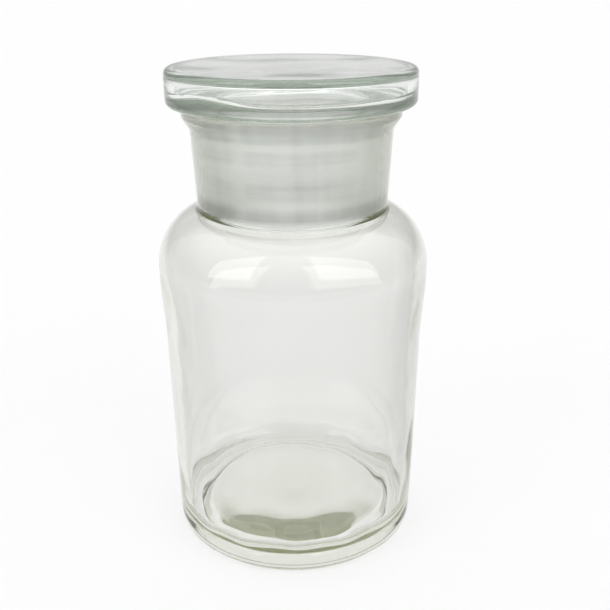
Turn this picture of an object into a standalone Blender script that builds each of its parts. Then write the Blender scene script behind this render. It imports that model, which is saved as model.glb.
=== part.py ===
"""Wide-mouth glass storage jar with a ground-glass stopper.

Two pieces of glass, each turned about the Z axis: jar_body, a bottle with a thick base, a round shoulder and
a lipped neck, and stopper, a flat-topped hollow disc with an open tapered plug that hangs in the neck.
Metres, +Z up, origin at the middle of the ring that the jar stands on.
"""

import math

import bmesh
import bpy
from mathutils import Matrix, Vector

# How finely the round shapes are made
TURN_STEPS = 60
ARC_TOLERANCE = 0.00008
MERGE_DISTANCE = 0.00001
SHARP_ANGLE = math.radians(32)

# Base: a flat standing ring round a shallow recess, and inside it a floor that rises to a low dome
HEEL_RADIUS = 0.0421
HEEL_ROUNDING = 0.0036
RING_INNER_RADIUS = 0.0330
RECESS_EDGE = (0.0300, 0.0035)
RECESS_MIDDLE_HEIGHT = 0.0019
DOME_EDGE = (0.0235, 0.0106)
DOME_ROUNDING = 0.0250
FLOOR_GROOVE = (0.0335, 0.0069)
FLOOR_CORNER_HEIGHT = 0.0073
FLOOR_CORNER_ROUNDING = 0.0060

# Side wall: a slightly tapered label panel under a wider shoulder
WALL = 0.0029
PANEL_BOTTOM = (0.0425, 0.0130)
PANEL_TOP = (0.0437, 0.0760)
PANEL_ROUNDING = 0.1200
SHOULDER_RADIUS = 0.04475
SHOULDER_START = 0.0890
SHOULDER_CORNER = 0.1103
SHOULDER_ROUNDING = 0.0200

# Neck, its lip, and the ground seat inside it
NECK_BOTTOM = (0.0310, 0.1159)
NECK_TOP = (0.0324, 0.1413)
NECK_ROUNDING = 0.0016
LIP_RADIUS = 0.0349
LIP_FLARE_ROUNDING = 0.0025
LIP_UNDERSIDE = 0.1452
LIP_TOP = 0.1472
LIP_TOP_ROUNDING = 0.0009
LIP_LOWER_ROUNDING = 0.0018
LIP_MOUTH_ROUNDING = 0.0006
SEAT_BOTTOM = (0.0282, 0.1150)
SEAT_TAPER = 0.05
SEAT_END_ROUNDING = 0.0012

# Stopper: the plug follows the seat's taper at a small clearance, and its hollow widens inside the disc
SEAT_GAP = 0.00035
PLUG_BOTTOM = 0.1125
PLUG_END_ROUNDING = 0.0014
HOLLOW_MOUTH_RADIUS = 0.0245
HOLLOW_THROAT_RADIUS = 0.0238
THROAT_ROUNDING = 0.0020
DISC_RADIUS = 0.03955
DISC_UNDERSIDE = 0.1484
DISC_TOP = 0.1600
DISC_TOP_ROUNDING = 0.0018
DISC_LOWER_ROUNDING = 0.0020
CAVITY_RADIUS = 0.0366
CAVITY_FLOOR = 0.1512
CAVITY_TOP = 0.1575
CAVITY_LOWER_ROUNDING = 0.0025
CAVITY_UPPER_ROUNDING = 0.0005

# Linear colours of the glass, seen through its thick edges
JAR_COLOUR = (0.90, 0.95, 0.92)
STOPPER_COLOUR = (0.84, 0.92, 0.87)


def seat_radius(height):
    """Radius of the ground seat inside the neck, which widens upwards."""
    return SEAT_BOTTOM[0] + SEAT_TAPER * (height - SEAT_BOTTOM[1])


def corner_arc(before, corner, after, rounding):
    """Points of the arc that rounds off a corner between its two neighbours."""
    back = (before - corner).normalized()
    ahead = (after - corner).normalized()
    half_opening = back.angle(ahead) / 2
    centre = corner + (back + ahead).normalized() * rounding / math.sin(half_opening)
    spoke = corner + back * rounding / math.tan(half_opening) - centre
    turn = math.copysign(math.pi - 2 * half_opening, ahead.cross(back))
    largest_step = 2 * math.acos(1 - ARC_TOLERANCE / rounding)
    steps = math.ceil(abs(turn) / largest_step)
    return [centre + Matrix.Rotation(turn * i / steps, 2) @ spoke for i in range(steps + 1)]


def rounded(corners):
    """Points of an outline given as (radius, height, rounding) corners."""
    places = [Vector(corner[:2]) for corner in corners]
    points = []
    for i, place in enumerate(places):
        rounding = corners[i][2]
        if rounding:
            points += corner_arc(places[i - 1], place, places[i + 1], rounding)
        else:
            points.append(place)
    return points


def jar_outline():
    """From the middle of the floor up the inside, over the lip, down the outside and under the base."""
    inside = [
        (0, DOME_EDGE[1], 0),
        (*DOME_EDGE, DOME_ROUNDING),
        (*FLOOR_GROOVE, 0),
        (PANEL_BOTTOM[0] - WALL, FLOOR_CORNER_HEIGHT, FLOOR_CORNER_ROUNDING),
        (PANEL_TOP[0] - WALL, PANEL_TOP[1], PANEL_ROUNDING),
        (SHOULDER_RADIUS - WALL, SHOULDER_START, PANEL_ROUNDING),
        (SHOULDER_RADIUS - WALL, SHOULDER_CORNER - WALL, SHOULDER_ROUNDING - WALL),
        (SEAT_BOTTOM[0], SEAT_BOTTOM[1] - WALL, SEAT_END_ROUNDING),
        (*SEAT_BOTTOM, 0),
        (seat_radius(LIP_TOP), LIP_TOP, LIP_MOUTH_ROUNDING),
    ]
    outside = [
        (LIP_RADIUS, LIP_TOP, LIP_TOP_ROUNDING),
        (LIP_RADIUS, LIP_UNDERSIDE, LIP_LOWER_ROUNDING),
        (*NECK_TOP, LIP_FLARE_ROUNDING),
        (*NECK_BOTTOM, NECK_ROUNDING),
        (SHOULDER_RADIUS, SHOULDER_CORNER, SHOULDER_ROUNDING),
        (SHOULDER_RADIUS, SHOULDER_START, PANEL_ROUNDING),
        (*PANEL_TOP, PANEL_ROUNDING),
        (*PANEL_BOTTOM, 0),
        (HEEL_RADIUS, 0, HEEL_ROUNDING),
        (RING_INNER_RADIUS, 0, 0),
        (*RECESS_EDGE, 0),
        (0, RECESS_MIDDLE_HEIGHT, 0),
    ]
    return rounded(inside + outside)


def stopper_outline():
    """From the middle of the top over the disc, down the plug, up inside it and out into the disc's cavity."""
    return rounded(
        [
            (0, DISC_TOP, 0),
            (DISC_RADIUS, DISC_TOP, DISC_TOP_ROUNDING),
            (DISC_RADIUS, DISC_UNDERSIDE, DISC_LOWER_ROUNDING),
            (seat_radius(DISC_UNDERSIDE) - SEAT_GAP, DISC_UNDERSIDE, 0),
            (seat_radius(PLUG_BOTTOM) - SEAT_GAP, PLUG_BOTTOM, PLUG_END_ROUNDING),
            (HOLLOW_MOUTH_RADIUS, PLUG_BOTTOM, PLUG_END_ROUNDING),
            (HOLLOW_THROAT_RADIUS, CAVITY_FLOOR, THROAT_ROUNDING),
            (CAVITY_RADIUS, CAVITY_FLOOR, CAVITY_LOWER_ROUNDING),
            (CAVITY_RADIUS, CAVITY_TOP, CAVITY_UPPER_ROUNDING),
            (0, CAVITY_TOP, 0),
        ]
    )


def glass(name, colour):
    material = bpy.data.materials.new(name)
    material.use_nodes = True
    shader = material.node_tree.nodes["Principled BSDF"]
    shader.inputs["Base Color"].default_value = (*colour, 1)
    shader.inputs["Roughness"].default_value = 0.03
    shader.inputs["Metallic"].default_value = 0
    shader.inputs["IOR"].default_value = 1.52
    shader.inputs["Transmission Weight"].default_value = 1
    return material


def turned(name, outline, material):
    """Turns an outline that starts and ends on the axis into one closed piece."""
    shape = bmesh.new()
    points = [shape.verts.new((point.x, 0, point.y)) for point in outline]
    edges = [shape.edges.new(ends) for ends in zip(points, points[1:])]
    bmesh.ops.spin(
        shape,
        geom=points + edges,
        cent=(0, 0, 0),
        axis=(0, 0, 1),
        angle=math.tau,
        steps=TURN_STEPS,
        use_merge=True,
    )
    bmesh.ops.remove_doubles(shape, verts=shape.verts, dist=MERGE_DISTANCE)
    bmesh.ops.recalc_face_normals(shape, faces=shape.faces)
    mesh = bpy.data.meshes.new(name)
    shape.to_mesh(mesh)
    shape.free()
    mesh.shade_smooth()
    mesh.set_sharp_from_angle(angle=SHARP_ANGLE)
    mesh.materials.append(material)
    piece = bpy.data.objects.new(name, mesh)
    bpy.context.scene.collection.objects.link(piece)


def main():
    for old in list(bpy.data.objects):
        bpy.data.objects.remove(old)
    turned("jar_body", jar_outline(), glass("jar_glass", JAR_COLOUR))
    turned("stopper", stopper_outline(), glass("stopper_glass", STOPPER_COLOUR))


main()
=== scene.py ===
"""Looks of the lidded glass canister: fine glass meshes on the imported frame, studio light and camera."""

import math

import bmesh
import bpy
from mathutils import Matrix, Vector, noise


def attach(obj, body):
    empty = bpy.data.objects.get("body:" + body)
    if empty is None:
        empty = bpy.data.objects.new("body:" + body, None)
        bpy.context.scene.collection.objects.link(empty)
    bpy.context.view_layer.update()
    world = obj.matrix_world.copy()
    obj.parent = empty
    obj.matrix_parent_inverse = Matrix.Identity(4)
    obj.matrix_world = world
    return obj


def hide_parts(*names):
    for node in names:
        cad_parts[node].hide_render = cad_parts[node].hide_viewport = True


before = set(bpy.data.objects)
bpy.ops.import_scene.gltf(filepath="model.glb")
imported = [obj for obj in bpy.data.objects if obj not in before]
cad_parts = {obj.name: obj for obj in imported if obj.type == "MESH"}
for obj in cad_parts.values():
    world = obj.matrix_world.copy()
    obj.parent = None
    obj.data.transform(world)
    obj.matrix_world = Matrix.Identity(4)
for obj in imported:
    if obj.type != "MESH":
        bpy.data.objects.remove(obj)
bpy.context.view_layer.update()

MM = 0.001


# ---------------------------------------------------------------- outlines, in millimetres
# How finely the round shapes are made
TURN_STEPS = 192
ARC_TOLERANCE = 0.004
LONGEST_RUN = 1.5
ON_AXIS = 1e-6

# The base: a standing ring round a recess, and a floor that rises from a groove to a low dome
HEEL_RADIUS = 42.1
HEEL_ROUNDING = 3.6
RING_INNER_RADIUS = 33.0
RING_INNER_ROUNDING = 0.6
RECESS_EDGE = (30.0, 3.5)
RECESS_EDGE_ROUNDING = 1.5
RECESS_MIDDLE_HEIGHT = 1.9
FLOOR_DOME = (23.5, 10.6)
FLOOR_DOME_ROUNDING = 25.0
FLOOR_GROOVE = (33.5, 6.9)
FLOOR_GROOVE_ROUNDING = 1.0
FLOOR_CORNER_HEIGHT = 7.3
FLOOR_CORNER_ROUNDING = 6.0

# The side wall and the shoulder
WALL = 2.9
PANEL_BOTTOM = (42.5, 13.0)
PANEL_TOP = (43.7, 76.0)
PANEL_ROUNDING = 120
SHOULDER_RADIUS = 44.75
SHOULDER_START = 89.0
SHOULDER_CORNER = 110.3
SHOULDER_ROUNDING = 20.0

# The neck, its lip, and the ground seat inside it
NECK_BOTTOM = (31.0, 115.9)
NECK_ROUNDING = 1.6
NECK_TOP = (32.4, 141.3)
LIP_FLARE_ROUNDING = 2.5
LIP_RADIUS = 34.9
LIP_UNDERSIDE = 145.2
LIP_LOWER_ROUNDING = 1.8
LIP_TOP = 147.2
LIP_TOP_ROUNDING = 0.9
LIP_MOUTH_ROUNDING = 0.6
SEAT_BOTTOM = (28.2, 115.0)
SEAT_END_ROUNDING = 1.2
SEAT_TAPER = 0.05
SEAT_GROUND = (116.9, 146.6)

# The stopper: a hollow disc over an open plug that follows the seat's taper
SEAT_GAP = 0.35
PLUG_BOTTOM = 112.5
PLUG_END_ROUNDING = 1.4
PLUG_MOUTH_RADIUS = 24.5
PLUG_GROUND = (116.2, 146.8)
DISC_RADIUS = 39.55
DISC_UNDERSIDE = 148.4
DISC_TOP = 160.0
DISC_TOP_ROUNDING = 1.8
DISC_LOWER_ROUNDING = 2.0
PLUG_FILLET = 0.5
CAVITY_FLOOR = 151.2
CAVITY_TOP = 157.5
CAVITY_RADIUS = 36.6
CAVITY_LOWER_ROUNDING = 2.5
CAVITY_UPPER_ROUNDING = 0.5
THROAT_RADIUS = 23.8
THROAT_ROUNDING = 2.5


def seat_radius(height):
    return SEAT_BOTTOM[0] + SEAT_TAPER * (height - SEAT_BOTTOM[1])


def corner_arc(before, corner, after, rounding):
    back = (before - corner).normalized()
    ahead = (after - corner).normalized()
    half_opening = back.angle(ahead) / 2
    centre = corner + (back + ahead).normalized() * rounding / math.sin(half_opening)
    spoke = corner + back * rounding / math.tan(half_opening) - centre
    turn = math.copysign(math.pi - 2 * half_opening, ahead.cross(back))
    largest_step = 2 * math.acos(1 - ARC_TOLERANCE / rounding)
    steps = max(2, math.ceil(abs(turn) / largest_step))
    return [centre + Matrix.Rotation(turn * i / steps, 2) @ spoke for i in range(steps + 1)]


def rounded(corners):
    """The outline through corners of (radius, height, rounding)."""
    places = [Vector(corner[:2]) for corner in corners]
    points = []
    for i, place in enumerate(places):
        rounding = corners[i][2]
        if rounding:
            points += corner_arc(places[i - 1], place, places[i + 1], rounding)
        else:
            points.append(place)
    return points


def subdivided(points):
    """The same outline with its long runs cut into short ones."""
    result = [points[0]]
    for start, end in zip(points, points[1:]):
        pieces = max(1, math.ceil((end - start).length / LONGEST_RUN))
        result += [start.lerp(end, i / pieces) for i in range(1, pieces + 1)]
    return result


def jar_outline():
    """From the middle of the floor up the inside, over the lip, down the outside and under the base."""
    inside = [
        (0, FLOOR_DOME[1], 0),
        (*FLOOR_DOME, FLOOR_DOME_ROUNDING),
        (*FLOOR_GROOVE, FLOOR_GROOVE_ROUNDING),
        (PANEL_BOTTOM[0] - WALL, FLOOR_CORNER_HEIGHT, FLOOR_CORNER_ROUNDING),
        (PANEL_TOP[0] - WALL, PANEL_TOP[1], PANEL_ROUNDING),
        (SHOULDER_RADIUS - WALL, SHOULDER_START, PANEL_ROUNDING),
        (SHOULDER_RADIUS - WALL, SHOULDER_CORNER - WALL, SHOULDER_ROUNDING - WALL),
        (SEAT_BOTTOM[0], SEAT_BOTTOM[1] - WALL, SEAT_END_ROUNDING),
        (*SEAT_BOTTOM, 0),
        (seat_radius(LIP_TOP), LIP_TOP, LIP_MOUTH_ROUNDING),
    ]
    outside = [
        (LIP_RADIUS, LIP_TOP, LIP_TOP_ROUNDING),
        (LIP_RADIUS, LIP_UNDERSIDE, LIP_LOWER_ROUNDING),
        (*NECK_TOP, LIP_FLARE_ROUNDING),
        (*NECK_BOTTOM, NECK_ROUNDING),
        (SHOULDER_RADIUS, SHOULDER_CORNER, SHOULDER_ROUNDING),
        (SHOULDER_RADIUS, SHOULDER_START, PANEL_ROUNDING),
        (*PANEL_TOP, PANEL_ROUNDING),
        (*PANEL_BOTTOM, 0),
        (HEEL_RADIUS, 0, HEEL_ROUNDING),
        (RING_INNER_RADIUS, 0, RING_INNER_ROUNDING),
        (*RECESS_EDGE, RECESS_EDGE_ROUNDING),
        (0, RECESS_MIDDLE_HEIGHT, 0),
    ]
    return subdivided(rounded(inside + outside))


def stopper_outline():
    """From the middle of the top over the disc, down the plug, up inside it and into the disc's cavity."""
    return subdivided(
        rounded(
            [
                (0, DISC_TOP, 0),
                (DISC_RADIUS, DISC_TOP, DISC_TOP_ROUNDING),
                (DISC_RADIUS, DISC_UNDERSIDE, DISC_LOWER_ROUNDING),
                (seat_radius(DISC_UNDERSIDE) - SEAT_GAP, DISC_UNDERSIDE, PLUG_FILLET),
                (seat_radius(PLUG_BOTTOM) - SEAT_GAP, PLUG_BOTTOM, PLUG_END_ROUNDING),
                (PLUG_MOUTH_RADIUS, PLUG_BOTTOM, PLUG_END_ROUNDING),
                (THROAT_RADIUS, CAVITY_FLOOR, THROAT_ROUNDING),
                (CAVITY_RADIUS, CAVITY_FLOOR, CAVITY_LOWER_ROUNDING),
                (CAVITY_RADIUS, CAVITY_TOP, CAVITY_UPPER_ROUNDING),
                (0, CAVITY_TOP, 0),
            ]
        )
    )


# ---------------------------------------------------------------- glass meshes
def smooth_step(low, high, value):
    t = min(1, max(0, (value - low) / (high - low)))
    return t * t * (3 - 2 * t)


INNER_WALL_WAVE = 0.28
OUTER_WALL_WAVE = 0.14
FINE_WALL_WAVE = 0.07
FLOOR_WAVE = 0.3
FLOOR_RIM_WAVE = 0.8
CORNER_WAVE = 0.6
REAR_CORNER_WAVE = 1.2
FLOOR_WAVE_TOP = 16


def jar_wave(point, angle):
    """Radial and vertical waviness of the bottle, in millimetres. The neck and the base ring stay true."""
    radius, height = point
    inner = 1 if is_inside_jar(point) else 0
    wall = smooth_step(4, 12, height) * (1 - smooth_step(108, 114, height))
    around = Vector((math.cos(angle) * 2.2, math.sin(angle) * 2.2, height * 0.022 + 7 * inner))
    fine = Vector((math.cos(angle) * 5, math.sin(angle) * 5, height * 0.09 + 3 * inner))
    radial = wall * (INNER_WALL_WAVE if inner else OUTER_WALL_WAVE) * noise.noise(around)
    radial += wall * FINE_WALL_WAVE * noise.noise(fine)
    vertical = 0
    if inner and height < FLOOR_WAVE_TOP:
        x, y = radius * math.cos(angle), radius * math.sin(angle)
        low = 1 - smooth_step(10, FLOOR_WAVE_TOP, height)
        rim = smooth_step(30, 38, radius)
        swell = noise.noise(Vector((x * 0.09, y * 0.09, 4.0)))
        vertical = low * (FLOOR_WAVE + FLOOR_RIM_WAVE * rim) * swell
        rear = smooth_step(-0.3, 0.5, math.sin(angle))
        pull = noise.noise(Vector((x * 0.06, y * 0.06, 9.0)))
        radial += low * (CORNER_WAVE + REAR_CORNER_WAVE * rear) * rim * pull
    return radial, vertical


LOWEST_INSIDE = 5
SHOULDER_BEND = 96.7


def is_inside_jar(point):
    radius, height = point
    return height > LOWEST_INSIDE and radius < outer_radius(height) - WALL / 2


def between_points(lower, upper, height):
    """Radius at this height on the straight line through two points of an outline."""
    return lower[0] + (upper[0] - lower[0]) * (height - lower[1]) / (upper[1] - lower[1])


def outer_radius(height):
    """Rough radius of the jar's outside, close enough to tell the inside surface from it."""
    if height < PANEL_TOP[1]:
        return between_points(PANEL_BOTTOM, PANEL_TOP, height)
    if height < SHOULDER_START:
        return between_points(PANEL_TOP, (SHOULDER_RADIUS, SHOULDER_START), height)
    if height < SHOULDER_BEND:
        return SHOULDER_RADIUS
    if height < NECK_BOTTOM[1]:
        rise = height - SHOULDER_BEND
        return SHOULDER_RADIUS - SHOULDER_ROUNDING + math.sqrt(max(0, SHOULDER_ROUNDING**2 - rise**2))
    return between_points(NECK_BOTTOM, NECK_TOP, height)


THICK_SPOT_ANGLE = math.radians(226)
THICK_SPOT_WIDTH = math.radians(19)
THICK_SPOT_HEIGHT = 1.8


def thick_spot(radius, angle):
    """Height of the swelling where the glass of the disc's lower plate gathered on one side."""
    off = math.remainder(angle - THICK_SPOT_ANGLE, math.tau) / THICK_SPOT_WIDTH
    return THICK_SPOT_HEIGHT * math.exp(-off * off) * smooth_step(24, 31, radius)


def stopper_wave(point, angle):
    """Unevenness of the pressed stopper: soft ripples in its top, more inside, none on the ground plug."""
    radius, height = point
    if height < DISC_UNDERSIDE + 0.5:
        return 0, 0
    x, y = radius * math.cos(angle), radius * math.sin(angle)
    inside = radius < CAVITY_RADIUS + 0.05 and height < CAVITY_TOP + 0.05
    ripple = Vector((math.cos(angle) * 1.6, math.sin(angle) * 1.6, height * 0.08 + 5 * inside))
    radial = (0.35 if inside else 0.10) * noise.noise(ripple) * smooth_step(33, 38, radius)
    swell = Vector((x * 0.05, y * 0.05, 8.0 if height > 158 else 3.0 + 9 * (height > 154)))
    vertical = (0.12 if inside else 0.03) * noise.noise(swell) * smooth_step(149, 151, height)
    if inside and height < CAVITY_FLOOR + 3:
        fade = 1 - smooth_step(CAVITY_FLOOR + 1.2, CAVITY_FLOOR + 3, height)
        vertical += thick_spot(radius, angle) * fade
    return radial, vertical


def turned(name, outline, wave, ground_and_painted_shade):
    """A closed turned piece whose points move by wave. Its per-point attribute holds the ground mask and
    the painted shade that the given function returns.
    """
    shape = bmesh.new()
    # per point: ground mask, painted shade, painted shade at grazing angles
    layer = shape.verts.layers.float_vector.new("ground_and_painted_shade")
    rings = []
    for point in outline:
        on_axis = point.x < ON_AXIS
        ring = []
        for i in range(1 if on_axis else TURN_STEPS):
            angle = math.tau * i / TURN_STEPS
            radial, vertical = wave(point, angle)
            radius = point.x + (0 if on_axis else radial)
            vertex = shape.verts.new(
                (radius * math.cos(angle) * MM, radius * math.sin(angle) * MM, (point.y + vertical) * MM)
            )
            vertex[layer] = ground_and_painted_shade(point)
            ring.append(vertex)
        rings.append(ring)
    for ring, following in zip(rings, rings[1:]):
        for i in range(TURN_STEPS):
            j = (i + 1) % TURN_STEPS
            if len(ring) == 1:
                shape.faces.new((ring[0], following[i], following[j]))
            elif len(following) == 1:
                shape.faces.new((ring[i], following[0], ring[j]))
            else:
                shape.faces.new((ring[i], following[i], following[j], ring[j]))
    bmesh.ops.recalc_face_normals(shape, faces=shape.faces)
    mesh = bpy.data.meshes.new(name)
    shape.to_mesh(mesh)
    shape.free()
    mesh.shade_smooth()
    piece = bpy.data.objects.new(name, mesh)
    bpy.context.scene.collection.objects.link(piece)
    return piece


# How much painted shade, a darkening of the glass colour, each stretch of the surface gets. The fades
# between stretches are in millimetres
BODY_PAINTED_SHADE = 0.045
BODY_EDGE_PAINTED_SHADE = 0.42
SEAT_END_PAINTED_SHADE = 0.32
LIP_PAINTED_SHADE = 0.2
FLOOR_CORNER_PAINTED_SHADE = 0.16
STOPPER_PAINTED_SHADE = 0.005
DISC_BAND_PAINTED_SHADE = 0.5
ON_SURFACE = 0.05


def jar_ground_and_painted_shade(point):
    """How ground the surface is, how much painted shade darkens it seen straight through, and how much more
    painted shade it gets at grazing angles.
    """
    height = point.y
    seat = abs(point.x - seat_radius(height)) < ON_SURFACE and SEAT_GROUND[0] < height < SEAT_GROUND[1]
    body = smooth_step(12, 40, height) * (1 - smooth_step(92, 108, height))
    seat_end = smooth_step(116.3, 117.5, height) * (1 - smooth_step(118, 123.5, height))
    lip = smooth_step(139.5, 143.5, height)
    corner = smooth_step(33.5, 36, point.x) * (1 - smooth_step(9, 13.5, height))
    # painted shade: the body, the neck's bottom where the seat ends, and the lip are darkened
    painted_shade = BODY_PAINTED_SHADE * body + SEAT_END_PAINTED_SHADE * seat_end + LIP_PAINTED_SHADE * lip
    if is_inside_jar(point):
        # painted shade: a darker ring in the corner of the inside floor
        painted_shade += FLOOR_CORNER_PAINTED_SHADE * corner
    return float(seat), painted_shade, BODY_EDGE_PAINTED_SHADE * body


def stopper_ground_and_painted_shade(point):
    """The same for the stopper: a faint painted shade all over, and a band of painted shade low on the
    disc's side.
    """
    on_plug = abs(point.x - seat_radius(point.y) + SEAT_GAP) < ON_SURFACE
    plug = on_plug and PLUG_GROUND[0] < point.y < PLUG_GROUND[1]
    # painted shade: a dark band low on the disc's side
    side = smooth_step(DISC_RADIUS - 0.6, DISC_RADIUS - 0.1, point.x)
    side *= smooth_step(149.5, 150.2, point.y)
    band = smooth_step(149.8, 150.3, point.y) * (1 - smooth_step(151.8, 152.9, point.y))
    return float(plug), STOPPER_PAINTED_SHADE + DISC_BAND_PAINTED_SHADE * side * band, 0


# ---------------------------------------------------------------- materials
GLASS_IOR = 1.52
JAR_TINT = (0.984, 0.984, 0.988)
JAR_ABSORBED = (14, 13, 19)
STOPPER_TINT = (0.98, 0.985, 0.98)
STOPPER_ABSORBED = (11.2, 9.3, 11.4)
GROUND_ROUGHNESS = 0.42
GRINDING_RINGS = 0.5
GRINDING_STREAKS = 0.5
PAINTED_EDGE_SHADE_BANDS = 3.5


def calculator(tree):
    """A function that adds a Math node to tree, fed with numbers or outputs, and gives its output."""

    def calculate(operation, *values):
        node = tree.nodes.new("ShaderNodeMath")
        node.operation = operation
        for socket, value in zip(node.inputs, values):
            if isinstance(value, (int, float)):
                socket.default_value = value
            else:
                tree.links.new(value, socket)
        return node.outputs["Value"]

    return calculate


def glass_material(name, tint, absorbed):
    """Glass that dims light by tint at each surface, is darkened there by painted shade and grinding marks
    from its per-point attribute, is rough where that attribute marks it ground, and dims light by absorbed,
    in 1/m, inside.
    """
    material = bpy.data.materials.new(name)
    material.use_nodes = True
    nodes = material.node_tree.nodes
    links = material.node_tree.links
    calculate = calculator(material.node_tree)
    shader = nodes["Principled BSDF"]
    shader.inputs["Metallic"].default_value = 0
    shader.inputs["IOR"].default_value = GLASS_IOR
    shader.inputs["Transmission Weight"].default_value = 1
    absorption = nodes.new("ShaderNodeVolumeAbsorption")
    density = 2 * max(absorbed)
    absorption.inputs["Color"].default_value = (*(1 - part / density for part in absorbed), 1)
    absorption.inputs["Density"].default_value = density
    links.new(absorption.outputs["Volume"], nodes["Material Output"].inputs["Volume"])

    ground_and_painted_shade = nodes.new("ShaderNodeAttribute")
    ground_and_painted_shade.attribute_name = "ground_and_painted_shade"
    parts = nodes.new("ShaderNodeSeparateXYZ")
    links.new(ground_and_painted_shade.outputs["Vector"], parts.inputs["Vector"])
    ground, painted_shade, edge_painted_shade = parts.outputs

    place = nodes.new("ShaderNodeTexCoord")

    def unevenness(across, along, detail):
        squeeze = nodes.new("ShaderNodeMapping")
        squeeze.inputs["Scale"].default_value = (across, across, along)
        links.new(place.outputs["Object"], squeeze.inputs["Vector"])
        pattern = nodes.new("ShaderNodeTexNoise")
        pattern.inputs["Scale"].default_value = 1
        pattern.inputs["Detail"].default_value = detail
        links.new(squeeze.outputs["Vector"], pattern.inputs["Vector"])
        return pattern.outputs["Fac"]

    turns = unevenness(25, 700, 4)
    rings = unevenness(14, 420, 4)
    streaks = unevenness(170, 12, 2)
    edge_shade_band_pattern = unevenness(75, 6, 2)
    # painted shade: the glass colour darkens towards grazing angles, in soft upright bands
    grazing = nodes.new("ShaderNodeLayerWeight")
    steep = calculate("MULTIPLY", grazing.outputs["Facing"], grazing.outputs["Facing"])
    marks = calculate("MULTIPLY_ADD", rings, GRINDING_RINGS, -GRINDING_RINGS / 2)
    upright_marks = calculate("MULTIPLY_ADD", streaks, GRINDING_STREAKS, -GRINDING_STREAKS / 2)
    marks = calculate("ADD", marks, upright_marks)
    painted_edge_shade_bands = calculate("MULTIPLY_ADD", edge_shade_band_pattern, PAINTED_EDGE_SHADE_BANDS, 1 - PAINTED_EDGE_SHADE_BANDS / 2)
    steep = calculate("MULTIPLY", steep, painted_edge_shade_bands)
    # painted shade, together with the grinding marks of the ground zones, darkens the glass colour
    painted_shade_and_marks = calculate("MULTIPLY_ADD", steep, edge_painted_shade, painted_shade)
    painted_shade_and_marks = calculate("MULTIPLY_ADD", marks, ground, painted_shade_and_marks)
    shade = nodes.new("ShaderNodeVectorMath")
    shade.operation = "SCALE"
    shade.inputs["Vector"].default_value = tint
    links.new(calculate("SUBTRACT", 1, painted_shade_and_marks), shade.inputs["Scale"])
    links.new(shade.outputs["Vector"], shader.inputs["Base Color"])

    uneven = nodes.new("ShaderNodeMapRange")
    uneven.inputs["From Min"].default_value = 0.3
    uneven.inputs["From Max"].default_value = 0.7
    uneven.inputs["To Min"].default_value = GROUND_ROUGHNESS * 0.85
    uneven.inputs["To Max"].default_value = GROUND_ROUGHNESS * 1.15
    links.new(turns, uneven.inputs["Value"])
    links.new(calculate("MULTIPLY", uneven.outputs["Result"], ground), shader.inputs["Roughness"])
    return material


FLOOR_RADIUS = 12
FLOOR_ALBEDO = 0.2
FLOOR_GLOW = 0.69


def floor_material():
    material = bpy.data.materials.new("pale_floor")
    material.use_nodes = True
    shader = material.node_tree.nodes["Principled BSDF"]
    shader.inputs["Base Color"].default_value = (FLOOR_ALBEDO, FLOOR_ALBEDO, FLOOR_ALBEDO, 1)
    shader.inputs["Roughness"].default_value = 1
    shader.inputs["Specular IOR Level"].default_value = 0
    shader.inputs["Emission Color"].default_value = (1, 1, 1, 1)
    shader.inputs["Emission Strength"].default_value = FLOOR_GLOW
    return material


# ---------------------------------------------------------------- the piece
jar = turned("jar_glass_body", jar_outline(), jar_wave, jar_ground_and_painted_shade)
jar.data.materials.append(glass_material("jar_glass", JAR_TINT, JAR_ABSORBED))
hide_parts("jar_body")
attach(jar, "jar")

stopper = turned("stopper_glass_disc_and_plug", stopper_outline(), stopper_wave, stopper_ground_and_painted_shade)
stopper.data.materials.append(glass_material("stopper_glass", STOPPER_TINT, STOPPER_ABSORBED))
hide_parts("stopper")
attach(stopper, "stopper")


# ---------------------------------------------------------------- studio
def studio():
    bpy.ops.mesh.primitive_circle_add(vertices=128, radius=FLOOR_RADIUS, fill_type="NGON")
    floor = bpy.context.object
    floor.name = "floor"
    floor.data.materials.append(floor_material())

    world = bpy.data.worlds.new("studio")
    bpy.context.scene.world = world
    world.use_nodes = True
    light_room(world.node_tree)


# (height, brightness) up the room, and each window's left, right, lower and upper edge seen from the jar
BACK_TONES = ((0.0, 0.9), (0.12, 0.66), (0.4, 0.8), (1.0, 1.9))
FRONT_TONES = ((0.0, 0.3), (0.25, 0.4), (0.6, 0.7), (1.0, 1.9))
WINDOWS = ((-3.4, -0.75, 0.45, 2.5), (0.38, 3.8, 0.45, 2.5))
WINDOW_LIGHT = 2.1
WINDOW_EDGE = 0.06
SIDE_SLOPE = 0.06
COOLER_ABOVE = 0.04


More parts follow.
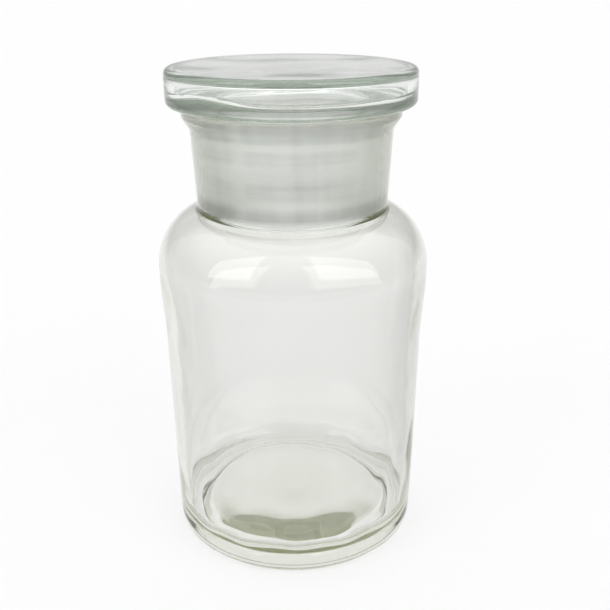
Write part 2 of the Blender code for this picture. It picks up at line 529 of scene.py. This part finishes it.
def light_room(tree):
    """A room seen from the jar: a pale back, a dimmer front with two high windows, a bright ceiling."""
    nodes, links = tree.nodes, tree.links
    calculate = calculator(tree)

    def between(value, low, high):
        node = nodes.new("ShaderNodeMapRange")
        node.interpolation_type = "SMOOTHSTEP"
        links.new(value, node.inputs["Value"])
        node.inputs["From Min"].default_value = low
        node.inputs["From Max"].default_value = high
        return node.outputs["Result"]

    def tones(value, stops):
        ramp = nodes.new("ShaderNodeValToRGB")
        elements = ramp.color_ramp.elements
        while len(elements) < len(stops):
            elements.new(0.5)
        for element, (position, level) in zip(elements, stops):
            element.position = position
            element.color = (level, level, level * (1 + COOLER_ABOVE * position), 1)
        links.new(value, ramp.inputs["Fac"])
        return ramp.outputs["Color"]

    place = nodes.new("ShaderNodeTexCoord")
    split = nodes.new("ShaderNodeSeparateXYZ")
    links.new(place.outputs["Generated"], split.inputs["Vector"])
    sideways, away, upwards = split.outputs
    towards = calculate("MULTIPLY", away, -1)
    frontness = between(towards, -0.3, 0.4)
    back_part = calculate("MULTIPLY", tones(upwards, BACK_TONES), calculate("SUBTRACT", 1, frontness))
    front_part = calculate("MULTIPLY", tones(upwards, FRONT_TONES), frontness)
    total = calculate("ADD", back_part, front_part)
    depth = calculate("MAXIMUM", towards, 0.001)
    across = calculate("DIVIDE", sideways, depth)
    above = calculate("DIVIDE", upwards, depth)
    for left, right, low, high in WINDOWS:
        glow = WINDOW_LIGHT
        for value, start, end in ((across, left, right), (above, low, high)):
            glow = calculate("MULTIPLY", between(value, start - WINDOW_EDGE, start + WINDOW_EDGE), glow)
            glow = calculate("MULTIPLY", between(value, end + WINDOW_EDGE, end - WINDOW_EDGE), glow)
        total = calculate("ADD", total, glow)
    side = calculate("SUBTRACT", 1, calculate("MULTIPLY", sideways, SIDE_SLOPE))
    links.new(calculate("MULTIPLY", total, side), nodes["Background"].inputs["Color"])


CAMERA_DISTANCE = 0.27547
CAMERA_HEIGHT = 0.18878
CAMERA_LENS = 50.74
CAMERA_PITCH = 0.3766
CAMERA_YAW = 0.0143
CAMERA_ROLL = -0.0041


def camera():
    data = bpy.data.cameras.new("camera")
    data.sensor_width = 36
    data.lens = CAMERA_LENS
    data.clip_start = 0.01
    view = bpy.data.objects.new("camera", data)
    turn = Matrix.Rotation(-CAMERA_YAW, 4, "Z") @ Matrix.Rotation(math.pi / 2 - CAMERA_PITCH, 4, "X")
    place = Matrix.Translation((0, -CAMERA_DISTANCE, CAMERA_HEIGHT))
    view.matrix_world = place @ turn @ Matrix.Rotation(CAMERA_ROLL, 4, "Z")
    bpy.context.scene.collection.objects.link(view)
    bpy.context.scene.camera = view


studio()
camera()

scene = bpy.context.scene
scene.view_settings.view_transform = "Standard"
scene.cycles.max_bounces = 64
scene.cycles.diffuse_bounces = 16
scene.cycles.transmission_bounces = 64
scene.cycles.glossy_bounces = 64
scene.cycles.blur_glossy = 0
scene.cycles.sample_clamp_indirect = 0
